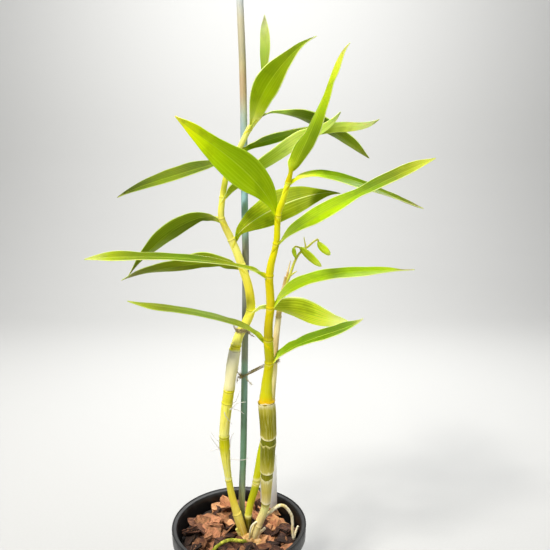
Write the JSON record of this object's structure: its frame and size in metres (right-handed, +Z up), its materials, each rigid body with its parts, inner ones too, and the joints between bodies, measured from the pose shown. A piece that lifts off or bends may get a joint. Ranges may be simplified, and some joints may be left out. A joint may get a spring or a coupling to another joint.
{
  "type": "potted dendrobium orchid",
  "caption": "Leafy dendrobium orchid with kinked, sheathed canes and a budding flower spike, tied to a garden stake in a black nursery pot of bark chips.",
  "frame": {"origin": "middle of the pot's flat bottom", "axes": "+Z up along the pot's axis, +X to the side that the canes and the flower spike lean to, -Y to the side that the front cane stands on"},
  "size_m": [0.2793, 0.12, 0.6041],
  "materials": {
    "pot_plastic": "satin black, moulded",
    "bark": "rough orchid bark, reddish with dark flakes",
    "roots": "matt cream to green-yellow",
    "cane": "satin yellow-green, with papery cream sheaths",
    "dry_cane": "matt, papery tan",
    "bud": "satin yellow-green",
    "leaf": "satin green, with fine parallel veins and a pale margin",
    "stake": "matt, faded green to bleached tan",
    "twine": "fuzzy brown jute",
    "label": "matt white, blank"
  },
  "bodies": {
    "root": {"pot": "pot_plastic", "bark_medium": "bark", "rhizome_with_roots": "roots", "left_cane": "cane", "front_cane": "cane", "old_cane": "dry_cane", "flower_spike": "bud", "left_cane_leaf_1": "leaf", "left_cane_leaf_2": "leaf", "left_cane_leaf_3": "leaf", "left_cane_leaf_4": "leaf", "left_cane_leaf_5": "leaf", "left_cane_leaf_6": "leaf", "left_cane_leaf_7": "leaf", "left_cane_leaf_8": "leaf", "left_cane_leaf_9": "leaf", "left_cane_leaf_10": "leaf", "front_cane_leaf_1": "leaf", "front_cane_leaf_2": "leaf", "front_cane_leaf_3": "leaf", "front_cane_leaf_4": "leaf", "front_cane_leaf_5": "leaf", "front_cane_leaf_6": "leaf", "front_cane_leaf_7": "leaf", "front_cane_leaf_8": "leaf", "stake": "stake", "upper_tie": "twine", "lower_tie": "twine", "plant_label": "label"}
  },
  "joints": []
}
